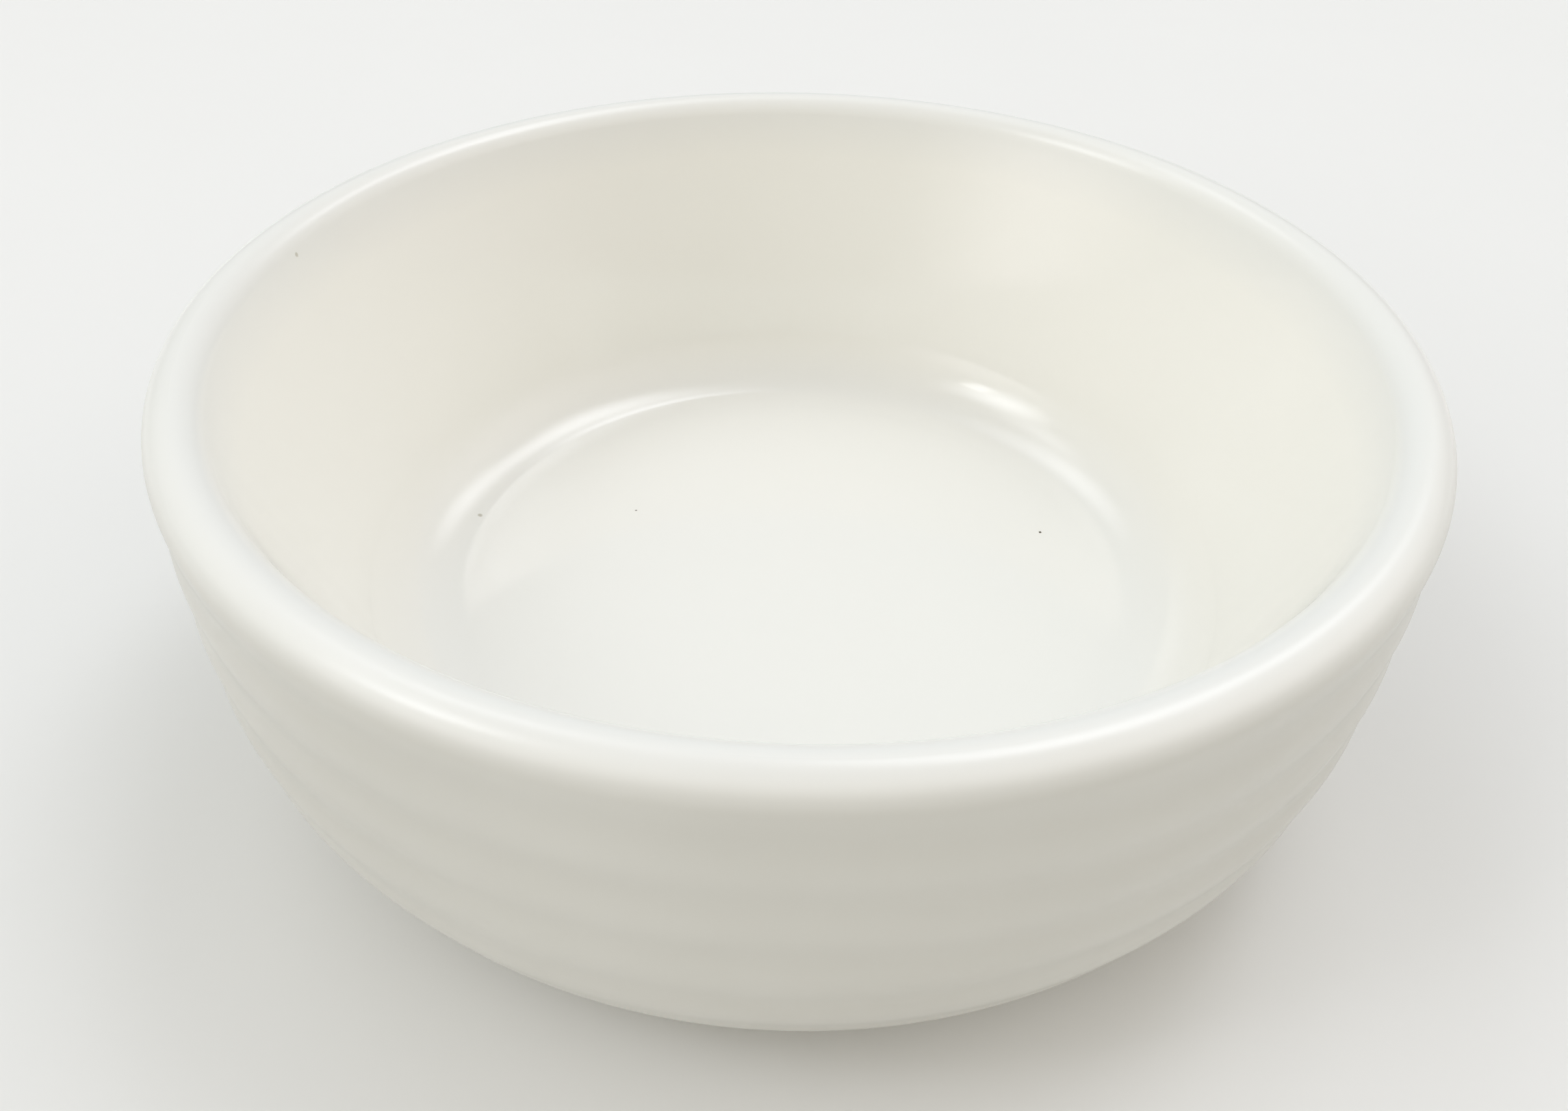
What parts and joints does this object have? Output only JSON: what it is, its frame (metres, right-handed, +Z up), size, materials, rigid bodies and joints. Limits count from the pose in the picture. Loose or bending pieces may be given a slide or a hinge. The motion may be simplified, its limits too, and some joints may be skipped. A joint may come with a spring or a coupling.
{
  "type": "evaporating dish",
  "caption": "Thick-walled round porcelain dish with a rounded lip, soft turned ribs outside, a glossy funnel-sided inside with a flat floor, and a low foot ring to stand on.",
  "frame": {"origin": "centre of the plane that the foot ring stands on", "axes": "+Z up along the dish's axis of revolution, out of its mouth; X and Y are alike"},
  "size_m": [0.1, 0.1, 0.0367],
  "materials": {
    "porcelain": "bare fired porcelain, fine and matt",
    "inside_glaze": "glossy cream-white glaze",
    "outside_glaze": "satin white glaze over turned ribs"
  },
  "bodies": {
    "root": {"porcelain_body": "porcelain", "inner_glaze": "inside_glaze", "outer_glaze": "outside_glaze", "base_glaze": "outside_glaze"}
  },
  "joints": []
}
